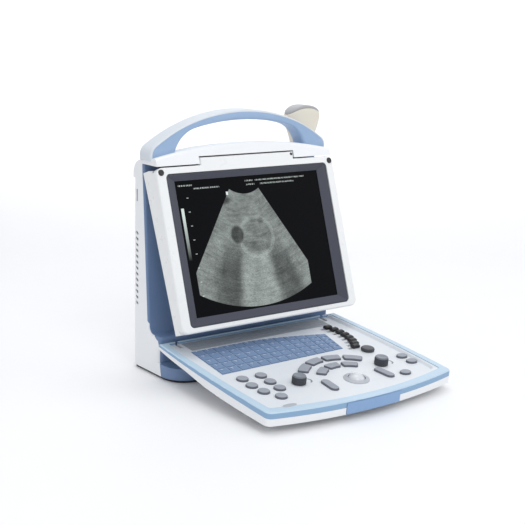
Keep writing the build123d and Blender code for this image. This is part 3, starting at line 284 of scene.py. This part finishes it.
# ---------------------------------------------------------------- the screen's picture
def screen_picture():
    """A lit screen: a convex sector of speckle, a grey scale, ticks and rows of plain dashes."""
    graph = Graph("screen_picture")
    calc, span = graph.calc, graph.span
    offset = graph.vector("SUBTRACT", graph.place, tuple(SCREEN_CENTRE))
    across = calc("MULTIPLY", graph.vector("DOT_PRODUCT", offset, (1, 0, 0)), 1000.0)
    up = calc("MULTIPLY", graph.vector("DOT_PRODUCT", offset, tuple(SCREEN_UP)), 1000.0)
    apex_x, apex_up, near, far = -10.0, 113.6, 46.5, 203.0
    right_of = calc("SUBTRACT", across, apex_x)
    below = calc("SUBTRACT", apex_up, up)
    reach = calc("POWER", calc("ADD", calc("MULTIPLY", right_of, right_of),
                               calc("MULTIPLY", below, below)), 0.5)
    turn = calc("ARCTAN2", right_of, below)

    def within(value, low, high, soft):
        """One between two limits, fading to none outside them."""
        rising = span(value, low - soft, low, smooth=True)
        return calc("MULTIPLY", rising, span(value, high, high + soft, 1.0, 0.0, smooth=True))

    def patch(x, y, wide, tall, soft):
        """One inside an ellipse, fading to none across its edge."""
        a = calc("DIVIDE", calc("SUBTRACT", across, x), wide)
        b = calc("DIVIDE", calc("SUBTRACT", up, y), tall)
        distance = calc("POWER", calc("ADD", calc("MULTIPLY", a, a), calc("MULTIPLY", b, b)), 0.5)
        return span(distance, 1 - soft, 1 + soft, 1.0, 0.0, smooth=True), distance

    sector = within(reach, near, far, 0.8)
    sector = calc("MULTIPLY", sector, within(turn, math.radians(-34.6), math.radians(30.6), 0.006))
    sector = calc("MULTIPLY", sector, within(across, -111.0, 79.0, 1.0))
    polar = graph.combine(reach, calc("MULTIPLY", turn, 62.0))
    speckle = graph.noise(0.85, 4.0, place=polar, roughness=0.7)
    drawn_out = graph.vector("MULTIPLY", polar, (1.6, 0.55, 1.0))
    streaks = graph.noise(0.16, 5.0, place=drawn_out, roughness=0.62)
    tissue = graph.noise(0.035, 4.0, place=graph.combine(across, up), roughness=0.6)
    grey = calc("MULTIPLY_ADD", tissue, 0.5, calc("MULTIPLY", streaks, 0.42))
    grey = calc("SUBTRACT", grey, 0.17)
    shadow_left = within(turn, math.radians(-20), math.radians(-13), math.radians(7))
    shadow_right = within(turn, math.radians(13), math.radians(20), math.radians(5))
    deep = span(reach, 110.0, 150.0, smooth=True)
    both = calc("MULTIPLY", calc("ADD", shadow_left, shadow_right), calc("MULTIPLY", deep, 0.55))
    column = calc("MULTIPLY", within(turn, math.radians(-8), math.radians(7), math.radians(4)), deep)
    ring_inside, ring_distance = patch(-3.0, 6.0, 29.0, 28.0, 0.06)
    ring = within(ring_distance, 0.93, 1.03, 0.09)
    dark_cyst, _ = patch(-35.0, 12.0, 10.5, 12.5, 0.22)
    dark_fold, _ = patch(-2.0, -7.0, 15.0, 8.0, 0.45)
    pale_fold, _ = patch(4.0, -2.0, 9.0, 5.5, 0.5)
    small_dark, _ = patch(8.0, 28.0, 5.0, 4.0, 0.5)
    notch, _ = patch(-50.0, 61.0, 13.0, 5.5, 0.45)
    grey = calc("MULTIPLY", grey, calc("SUBTRACT", 1.0, both))
    grey = calc("MULTIPLY_ADD", column, 0.12, grey)
    grey = calc("MULTIPLY_ADD", ring, 0.09, grey)
    grey = calc("MULTIPLY_ADD", ring_inside, -0.03, grey)
    grey = calc("MULTIPLY_ADD", pale_fold, 0.14, grey)
    for hollow, amount in ((dark_cyst, 0.75), (dark_fold, 0.45), (small_dark, 0.4), (notch, 0.7)):
        grey = calc("MULTIPLY", grey, calc("MULTIPLY_ADD", hollow, -amount, 1.0))
    grain = span(speckle, 0.25, 0.75, 0.45, 1.55)
    picture = calc("MULTIPLY", calc("MULTIPLY", grey, grain, clamp=True), sector)

    def block(x_low, x_high, low, high):
        """One inside a rectangle of the screen."""
        inside = calc("MULTIPLY", calc("GREATER_THAN", across, x_low), calc("LESS_THAN", across, x_high))
        inside = calc("MULTIPLY", inside, calc("GREATER_THAN", up, low))
        return calc("MULTIPLY", inside, calc("LESS_THAN", up, high))

    scale_bar = calc("MULTIPLY", block(-119.0, -114.5, -16.0, 55.0), span(up, -16.0, 45.0, 0.0, 0.9))
    marks = block(-42.5, -39.0, 68.0, 72.5)
    for tick in range(8):
        height = 68.0 - tick * 19.0
        marks = calc("ADD", marks, calc("MULTIPLY", block(-107.5, -104.5, height, height + 1.0), 0.6))
    dashes = graph.noise(1.0, 2.0, place=graph.combine(calc("MULTIPLY", across, 0.55),
                                                       calc("FLOOR", calc("MULTIPLY", up, 0.2))))
    written = calc("GREATER_THAN", dashes, 0.5)
    rows = None
    for x_low, x_high, height in ((-118, -96, 84.5), (-94, -52, 79.5), (-8, 6, 84.5), (10, 98, 84.5),
                                  (-6, 8, 79.0), (18, 78, 79.0)):
        row = block(x_low, x_high, height, height + 1.9)
        rows = row if rows is None else calc("ADD", rows, row)
    lettering = calc("MULTIPLY", calc("MULTIPLY", rows, written), 0.65)
    light = calc("ADD", calc("ADD", picture, scale_bar), calc("ADD", marks, lettering), clamp=True)
    tinted = graph.mix(light, (0.0015, 0.0018, 0.002, 1.0), (0.80, 0.90, 0.86, 1.0))
    graph.join(tinted, graph.shader.inputs["Emission Color"])
    graph.shader.inputs["Emission Strength"].default_value = 0.95
    graph.shader.inputs["Base Color"].default_value = (0.004, 0.004, 0.005, 1.0)
    graph.join(span(graph.noise(40.0), 0.3, 0.7, 0.2, 0.28), graph.shader.inputs["Roughness"])
    graph.shader.inputs["Specular IOR Level"].default_value = 0.03
    return graph.material


SCREEN = screen_picture()

# ---------------------------------------------------------------- finishes of the CAD nodes
finishes = {
    CASE_WHITE: ["rear_case", "top_cap", "battery_door", "keyboard_tray", "probe_holder"],
    FRAME_WHITE: ["monitor_frame", "monitor_rear_cover"],
    PANEL_WHITE: ["control_panel"],
    COVER_BLUE: ["front_cover"],
    TRIM_BLUE: ["keyboard_trim"],
    LATCH_BLUE: ["latch"],
    FIELD_BLUE: ["key_bed"],
    KEY_BLUE: ["alphanumeric_keys"],
    STRIP_PAINTED_SHADE: ["hinge_strip"],
    BEZEL_DARK: ["screen_bezel"],
    SCREEN: ["lcd_panel"],
    RUBBER_DARK: ["base_pad", "corner_bumpers", "keyboard_feet"],
    KEY_GREY: ["keys_right", "keys_arc_outer", "keys_arc_inner", "set_key_left", "set_key_right"]
    + ["key_left_%d" % number for number in range(1, 8)],
    BLACK: ["battery_pack", "fan_housing", "fan_rotor", "probe_sockets", "mains_inlet",
            "encoder_left", "encoder_right", "gain_knob"]
    + ["gain_slider_%d" % number for number in range(1, 9)],
    STEEL: ["monitor_hinges", "keyboard_hinges"],
    SCREW_STEEL: ["case_screws"],
    SUPPLY_METAL: ["power_supply"],
    BOARD_GREEN: ["main_board", "keyboard_board"],
    PROBE_BEIGE: ["probe_body"],
    RING_GREY: ["trackball_ring"],
    BALL_WHITE: ["trackball"],
    LENS_GREY: ["probe_lens"],
    HANDLE_BLUE: ["carry_handle"],
    HANDLE_PAINTED_LIT: ["handle_top"],
}
for material, names in finishes.items():
    for name in names:
        slots = nodes[name].data.materials
        slots.clear()
        slots.append(material)


def soften(name, width, segments=2):
    """Rounds a CAD node's sharp edges."""
    item = nodes[name]
    weld = item.modifiers.new("weld", "WELD")
    weld.merge_threshold = 0.000005
    flat = item.modifiers.new("flat", "DECIMATE")
    flat.decimate_type = "DISSOLVE"
    flat.angle_limit = math.radians(0.5)
    bevel = item.modifiers.new("bevel", "BEVEL")
    bevel.width = width * MM
    bevel.segments = segments
    bevel.limit_method = "ANGLE"
    bevel.angle_limit = math.radians(40)
    bevel.harden_normals = False
    smooth = item.modifiers.new("normals", "WEIGHTED_NORMAL")
    smooth.keep_sharp = False


soften("alphanumeric_keys", 0.45)
soften("key_bed", 0.2, 1)
soften("keyboard_feet", 1.2, 3)
soften("base_pad", 0.8)
soften("battery_door", 0.5)
soften("probe_holder", 1.0, 3)
for number in range(1, 9):
    soften("gain_slider_%d" % number, 0.5)


# ---------------------------------------------------------------- mesh helpers
def add_mesh(name, points, faces, material, body, smooth_angle=35.0, slots=None):
    """A new piece from points in metres, riding on a body."""
    mesh = bpy.data.meshes.new(name)
    mesh.from_pydata([tuple(point) for point in points], [], faces)
    work = bmesh.new()
    work.from_mesh(mesh)
    bmesh.ops.recalc_face_normals(work, faces=work.faces)
    work.to_mesh(mesh)
    work.free()
    mesh.shade_smooth()
    mesh.set_sharp_from_angle(angle=math.radians(smooth_angle))
    for item in [material] if not isinstance(material, list) else material:
        mesh.materials.append(item)
    if slots:
        for face, slot in zip(mesh.polygons, slots):
            face.material_index = slot
    piece = bpy.data.objects.new(name, mesh)
    bpy.context.scene.collection.objects.link(piece)
    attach(piece, body)
    return piece


def rings_to_faces(count, around, closed_ends=True):
    """Quads between rings of points, with a face on each end."""
    faces = []
    for ring in range(count - 1):
        for step in range(around):
            after = (step + 1) % around
            low, high = ring * around, (ring + 1) * around
            faces.append((low + step, low + after, high + after, high + step))
    if closed_ends:
        faces.append(tuple(range(around)))
        faces.append(tuple((count - 1) * around + step for step in range(around)))
    return faces


def turned(name, profile, place, axes, material, body, around=64, ridges=0, ridge_depth=0.0,
           ridge_rings=(), slots=None):
    """A turned piece from (radius, height) points, with optional ridges round some of its rings."""
    points = []
    for index, (radius, height) in enumerate(profile):
        for step in range(around):
            angle = 2 * math.pi * step / around
            reach = radius
            if ridges and index in ridge_rings:
                reach -= ridge_depth * (0.5 - 0.5 * math.cos(ridges * angle))
            local = Vector((reach * math.cos(angle), reach * math.sin(angle), height)) * MM
            points.append(place + axes @ local)
    faces = rings_to_faces(len(profile), around)
    chosen = None
    if slots:
        chosen = [slots[ring] for ring in range(len(profile) - 1) for _ in range(around)]
        chosen += [slots[0], slots[-1]]
    return add_mesh(name, points, faces, material, body, slots=chosen)


# ---------------------------------------------------------------- carrying handle
def along(path, share):
    """The point at a share of a polyline's length."""
    lengths = [(b - a).length for a, b in zip(path, path[1:])]
    left = share * sum(lengths)
    for (start, end), length in zip(zip(path, path[1:]), lengths):
        if left <= length:
            return start.lerp(end, left / length)
        left -= length
    return path[-1].copy()


def arch_path(side, apex, radius, corner, foot):
    """Half of an arch's outline from its foot to its top, in millimetres: across and up."""
    start = math.asin((side - corner) / (radius - corner))
    hub = Vector((0, apex - radius))
    centre = hub + Vector((math.sin(start), math.cos(start))) * (radius - corner)
    path = [Vector((side, foot))]
    corner_steps, arch_steps = 12, 40
    for step in range(corner_steps + 1):
        angle = (math.pi / 2 - start) * step / corner_steps
        path.append(centre + Vector((math.cos(angle), math.sin(angle))) * corner)
    for step in range(1, arch_steps + 1):
        angle = start * (1 - step / arch_steps)
        path.append(hub + Vector((math.sin(angle), math.cos(angle))) * radius)
    return path


def build_handle():
    """The arch with rounded edges: a blue bar and a top skin in a paler painted lit tone standing in for
    the light on top, with a fine seam between them.
    """
    low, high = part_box("handle_top")
    front, rear, apex, side = low.y / MM, high.y / MM, high.z / MM, high.x / MM
    outer = arch_path(side, apex, radius=257.0, corner=14.0, foot=295.0)
    inner = arch_path(side=113.0, apex=apex - 14.1, radius=354.0, corner=45.0, foot=290.0)
    outer_round, inner_round, seam, groove = 2.8, 4.4, 3.4, 0.3

    def section(depth):
        """Points round the bar: depth below its outer curve and place front to rear."""
        points, slots = [], []
        for end, sign in ((front, 1), (rear, -1)):
            half = []
            for step in range(7):
                angle = math.radians(90 - 15 * step)
                half.append((outer_round - outer_round * math.sin(angle),
                             end + sign * (outer_round - outer_round * math.cos(angle)), 0))
            half.append((seam - groove, end, 0))
            half.append((seam, end + sign * groove, 1))
            half.append((seam + groove, end, 1))
            for step in range(7):
                angle = math.radians(15 * step)
                half.append((depth - inner_round + inner_round * math.sin(angle),
                             end + sign * (inner_round - inner_round * math.cos(angle)), 1))
            if sign < 0:
                half.reverse()
            points += [(a, b) for a, b, _ in half]
            slots += [slot for _, _, slot in half]
        return points, slots

    stations = 60
    points, slots = [], None
    for station in range(2 * stations + 1):
        share = station / stations
        mirror = -1 if share <= 1 else 1
        part = share if share <= 1 else 2 - share
        top, bottom = along(outer, part), along(inner, part)
        inward = (bottom - top).normalized()
        ring, slots = section((bottom - top).length)
        for depth, place in ring:
            spot = top + inward * depth
            points.append(Vector((mirror * spot.x, place, spot.y)) * MM)
    around = len(slots)
    faces = rings_to_faces(2 * stations + 1, around)
    chosen = [slots[step] for _ in range(2 * stations) for step in range(around)] + [1, 1]
    # slot 0, the top skin, takes the painted lit tone; slot 1 is the blue bar
    piece = add_mesh("handle_arch", points, faces, [HANDLE_PAINTED_LIT, HANDLE_BLUE], "main_unit", 50.0, chosen)
    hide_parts("carry_handle", "handle_top")


build_handle()


# ---------------------------------------------------------------- knobs
def build_encoder(name):
    """A tall knob with fine grip ridges and a grey dished cap."""
    joint = joints[name + "_turn"]
    place = Vector(joint["pos_m"])
    low, high = 0.4, 12.0
    profile = [(8.2, low), (9.4, low + 0.4), (9.5, low + 1.2), (9.5, high - 3.2), (9.3, high - 2.6),
               (8.7, high - 1.9), (8.6, high - 0.9), (8.0, high - 0.2), (7.2, high), (5.0, high - 0.5),
               (1.5, high - 0.7)]
    shades = [0, 0, 0, 0, 0, 1, 1, 1, 1, 1, 1]
    piece = turned(name + "_knob", profile, place, PANEL_AXES, [KNOB_DARK, CAP_GREY], name, 128, 32, 0.45,
                   (2, 3), shades)
    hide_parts(name)


build_encoder("encoder_left")
build_encoder("encoder_right")


def build_gain_knob():
    """A low knob with grip ridges."""
    place = Vector(joints["gain_turn"]["pos_m"])
    profile = [(8.6, 0.4), (9.4, 0.8), (9.6, 1.4), (9.6, 3.6), (9.0, 4.5), (8.2, 5.0), (7.4, 5.2),
               (2.0, 5.0)]
    shades = [0, 0, 0, 0, 1, 1, 1, 1]
    piece = turned("gain_knob_cap", profile, place, PANEL_AXES, [KNOB_DARK, CAP_DARK], "gain_knob", 120, 24,
                   0.5, (2, 3), shades)
    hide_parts("gain_knob")


build_gain_knob()


def build_stud():
    """The small dark stud at the right end of the monitor's raised tab."""
    vertices = nodes["monitor_frame"].data.vertices
    face = max((vert.co - SCREEN_CENTRE).dot(SCREEN_OUT) for vert in vertices)
    place = SCREEN_CENTRE + Vector((76.4 * MM, 0, 0)) + SCREEN_UP * 117.6 * MM + SCREEN_OUT * face
    axes = Matrix((Vector((1, 0, 0)), SCREEN_UP, SCREEN_OUT)).transposed()
    profile = [(0.4, -1.2), (2.0, -1.2), (2.1, 0.1), (1.8, 0.4), (0.3, 0.5)]
    turned("tab_stud", profile, place, axes, RUBBER_DARK, "monitor", 32)


build_stud()


# ---------------------------------------------------------------- probe
def build_probe():
    """A convex probe: a waisted grip that widens to a curved head under a rubber lens."""
    middle = box_centre("probe_body")
    sections = [(236.0, 17.0, 15.0), (239.0, 20.0, 17.0), (262.0, 26.5, 20.0), (290.0, 32.5, 21.8),
                (305.0, 39.0, 23.2), (320.0, 52.0, 25.0), (333.0, 61.5, 26.4), (339.0, 63.4, 26.2)]
    arc_radius, arc_top, lens_thick = 52.0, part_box("probe_lens")[1].z / MM, 4.5

    def blended(height):
        """Width and depth of the probe at a height, between the sections."""
        for before, after in zip(sections, sections[1:]):
            if height <= after[0]:
                step = (height - before[0]) / (after[0] - before[0])
                return [a + (b - a) * step for a, b in zip(before[1:], after[1:])]
        return list(sections[-1][1:])

    def ring(width, depth, level, around=80, power=2.7):
        """A rounded outline about the probe's axis; level gives its height from the place across."""
        points = []
        for step in range(around):
            angle = 2 * math.pi * step / around
            c, s = math.cos(angle), math.sin(angle)
            x = math.copysign(abs(c) ** (2 / power), c) * width / 2
            y = math.copysign(abs(s) ** (2 / power), s) * depth / 2
            points.append(Vector((middle.x / MM + x, middle.y / MM + y, level(x))) * MM)
        return points

    def arc(x, drop):
        """Height of the head's arc, lowered by a drop."""
        return arc_top - drop - arc_radius + math.sqrt(arc_radius**2 - min(abs(x), arc_radius) ** 2)

    count, grip_low, grip_high, passes = 60, 236.0, 339.0, 8
    heights = [grip_low + (grip_high - grip_low) * index / (count - 1) for index in range(count)]
    raw = [blended(height) for height in heights]
    for _ in range(passes):
        raw = [raw[0]] + [
            [(a + 2 * b + c) / 4 for a, b, c in zip(raw[i - 1], raw[i], raw[i + 1])]
            for i in range(1, count - 1)
        ] + [raw[-1]]
    points, rings = [], 0
    for height, (width, depth) in zip(heights, raw):
        points += ring(width, depth, lambda x, h=height: min(h, arc(x, lens_thick)))
        rings += 1
    top_width, top_depth = raw[-1]
    for share, size in ((0.3, 1.0), (0.6, 1.0), (0.85, 0.995), (1.0, 0.975)):
        points += ring(top_width * size, top_depth * size,
                       lambda x, a=share: min(grip_high, arc(x, lens_thick))
                       + a * max(0.0, arc(x, lens_thick) - grip_high))
        rings += 1
    shell = add_mesh("probe_shell", points, rings_to_faces(rings, 80), PROBE_BEIGE, "probe", 60.0)
    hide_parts("probe_body")
    # the lens follows the same arc, with its rim rounded over
    points = []
    layers = [(0.94, 0.0), (0.955, 0.1), (0.955, 0.5), (0.94, 0.72), (0.90, 0.88), (0.82, 0.97),
              (0.6, 1.0), (0.3, 1.0), (0.05, 1.0)]
    for size, share in layers:
        points += ring(top_width * size, top_depth * size * 0.98,
                       lambda x, a=share: arc(x, lens_thick) + a * lens_thick)
    lens = add_mesh("probe_lens_cap", points, rings_to_faces(len(layers), 80), LENS_GREY, "probe", 60.0)
    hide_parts("probe_lens")


build_probe()


# ---------------------------------------------------------------- printed marks on the panel
def flat_mark(name, outlines, height, thickness, material, body="keyboard"):
    """Thin flat shapes on the control panel, from outlines in panel millimetres."""
    points, faces = [], []
    for outline in outlines:
        base, count = len(points), len(outline)
        for level in (height, height + thickness):
            points += [panel_point(x, back, level) for x, back in outline]
        faces.append(tuple(base + step for step in range(count)))
        faces.append(tuple(base + count + step for step in range(count)))
        for step in range(count):
            after = (step + 1) % count
            faces.append((base + step, base + after, base + count + after, base + count + step))
    return add_mesh(name, points, faces, material, body)


def arrow_outline(x, back, radius, first, last, wide=0.5):
    """A curved arrow: an arc band with a pointed end, angles in degrees."""
    steps = 16
    angles = [math.radians(first + (last - first) * step / steps) for step in range(steps + 1)]
    outer = [(x + (radius + wide) * math.cos(a), back + (radius + wide) * math.sin(a)) for a in angles]
    inner = [(x + (radius - wide) * math.cos(a), back + (radius - wide) * math.sin(a)) for a in angles]
    end, ahead = angles[-1], math.radians(26 if last > first else -26)
    barb = wide + 1.1
    tip = [(x + (radius + barb) * math.cos(end), back + (radius + barb) * math.sin(end)),
           (x + radius * math.cos(end + ahead), back + radius * math.sin(end + ahead)),
           (x + (radius - barb) * math.cos(end), back + (radius - barb) * math.sin(end))]
    return outer + tip + inner[::-1]


def ellipse_outline(x, back, half_x, half_back, steps=40):
    """An ellipse's outline."""
    turns = [2 * math.pi * step / steps for step in range(steps)]
    return [(x + half_x * math.cos(turn), back + half_back * math.sin(turn)) for turn in turns]


def local_place(point):
    """A point of the model in panel millimetres: across and rearwards."""
    offset = point - HINGE
    return offset.x / MM, offset.dot(PANEL_BACK) / MM


def bar_outline(x, back, half_long, half_wide):
    """A small plain dash."""
    return [(x - half_long, back - half_wide), (x + half_long, back - half_wide),
            (x + half_long, back + half_wide), (x - half_long, back + half_wide)]


def key_centres():
    """The middle of each letter key in panel millimetres, from the node's separate solids."""
    mesh = nodes["alphanumeric_keys"].data
    work = bmesh.new()
    work.from_mesh(mesh)
    bmesh.ops.remove_doubles(work, verts=work.verts, dist=0.000005)
    waiting, centres = set(work.verts), []
    while waiting:
        found, edge = [], [waiting.pop()]
        while edge:
            vert = edge.pop()
            found.append(vert)
            for link in vert.link_edges:
                other = link.other_vert(vert)
                if other in waiting:
                    waiting.remove(other)
                    edge.append(other)
        places = [local_place(vert.co) for vert in found]
        spans = [[place[axis] for place in places] for axis in (0, 1)]
        centres.append(tuple((min(span) + max(span)) / 2 for span in spans))
    work.free()
    return sorted(centres, key=lambda place: (round(-place[1] / 4), place[0]))


def build_marks():
    """Turn arrows by the encoders, an indicator, ticks by the sliders and a dash on each key."""
    panel_top = 6.0
    arrows = []
    for name in ("encoder_left", "encoder_right"):
        x, back = local_place(Vector(joints[name + "_turn"]["pos_m"]))
        arrows.append(arrow_outline(x + 15.5, back + 2.0, 6.0, -80, 60, 1.1))
    flat_mark("turn_arrows", arrows, panel_top, 0.08, MARK_GREY)
    rim_top, trim_top = 9.2, 10.2
    window = [ellipse_outline(-117.0, -226.3, 10.5, 4.0)]
    flat_mark("indicator_window", window, rim_top - 0.4, trim_top - rim_top + 0.5, RING_GREY)
    first_tick, tick_gap, tick_wide, tick_half, tick_count = 9.2, 1.7, 0.6, 2.2, 3
    ticks = []
    for number in range(1, 9):
        low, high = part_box("gain_slider_%d" % number)
        x, back = local_place((low + high) / 2)
        for step in range(tick_count):
            middle = x - first_tick - tick_gap * step + tick_wide / 2
            ticks.append(bar_outline(middle, back, tick_wide / 2, tick_half))
    flat_mark("slider_ticks", ticks, panel_top, 0.08, CAP_DARK)
    dashes = []
    for index, (x, back) in enumerate(key_centres()):
        long = 1.3 + 0.5 * (index % 3)
        dashes.append(bar_outline(x - 2.2, back + 2.6, long, 0.42))
        if index % 2:
            dashes.append(bar_outline(x - 2.6, back - 0.4, 0.9, 0.42))
    flat_mark("key_dashes", dashes, 8.2, 0.06, MARK_PALE, "alphanumeric_keys")


build_marks()


# ---------------------------------------------------------------- studio
def build_studio():
    """A pale floor that curves up behind, a soft key light, a fill and a pale sky."""
    floor_material = plastic("floor_pale", srgb(244, 244, 245), 0.6, 0.01, rounding=0.0)
    points, faces = [], []
    profile = [(-6.0, 0.0), (2.2, 0.0)]
    for step in range(1, 13):
        angle = math.radians(90 * step / 12)
        profile.append((2.2 + 1.5 * math.sin(angle), 1.5 - 1.5 * math.cos(angle)))
    profile.append((3.7, 5.0))
    for index, (along_y, up) in enumerate(profile):
        for side in (-6.0, 6.0):
            points.append(Vector((side, along_y, up)))
        if index:
            base = 2 * index
            faces.append((base - 2, base - 1, base + 1, base))
    mesh = bpy.data.meshes.new("studio_floor")
    turn = Matrix.Rotation(math.radians(-37.4), 3, "Z")
    mesh.from_pydata([tuple(turn @ point) for point in points], [], faces)
    mesh.shade_smooth()
    mesh.materials.append(floor_material)
    floor = bpy.data.objects.new("studio_floor", mesh)
    bpy.context.scene.collection.objects.link(floor)
    target = Vector((0, -0.06, 0.17))
    for name, place, size, power in (
        ("key_light", (-0.6, -2.0, 2.0), 1.4, 17.0),
        ("fill_light", (1.9, -1.1, 1.3), 1.6, 5.0),
        ("top_light", (0.1, 0.1, 2.4), 1.6, 14.0),
        ("wall_light", (1.2, 1.6, 2.2), 1.6, 30.0),
    ):
        lamp = bpy.data.lights.new(name, "AREA")
        lamp.size = size
        lamp.energy = power
        light = bpy.data.objects.new(name, lamp)
        light.location = place
        aim = Vector((2.2, 3.0, 1.2)) if name == "wall_light" else target
        light.rotation_euler = (aim - Vector(place)).to_track_quat("-Z", "Y").to_euler()
        bpy.context.scene.collection.objects.link(light)
    world = bpy.data.worlds.new("studio_sky")
    world.use_nodes = True
    world.node_tree.nodes["Background"].inputs["Color"].default_value = (0.95, 0.97, 1.0, 1.0)
    world.node_tree.nodes["Background"].inputs["Strength"].default_value = 0.74
    bpy.context.scene.world = world
    bpy.context.scene.view_settings.view_transform = "Standard"


def build_camera():
    """The camera, in front of the object's left corner and a little above it."""
    camera = bpy.data.objects.new("camera", bpy.data.cameras.new("camera"))
    camera.data.lens = 75.87
    camera.data.sensor_width = 36.0
    yaw, pitch, roll = math.radians(37.41), math.radians(-12.56), math.radians(1.50)
    ahead = Vector((math.sin(yaw) * math.cos(pitch), math.cos(yaw) * math.cos(pitch), math.sin(pitch)))
    right = Vector((math.cos(yaw), -math.sin(yaw), 0))
    above = right.cross(ahead)
    turned_right = right * math.cos(roll) + above * math.sin(roll)
    turned_above = above * math.cos(roll) - right * math.sin(roll)
    axes = Matrix((turned_right, turned_above, -ahead)).transposed()
    camera.matrix_world = Matrix.Translation((-0.9142, -1.2377, 0.4860)) @ axes.to_4x4()
    bpy.context.scene.collection.objects.link(camera)
    bpy.context.scene.camera = camera


build_studio()
build_camera()
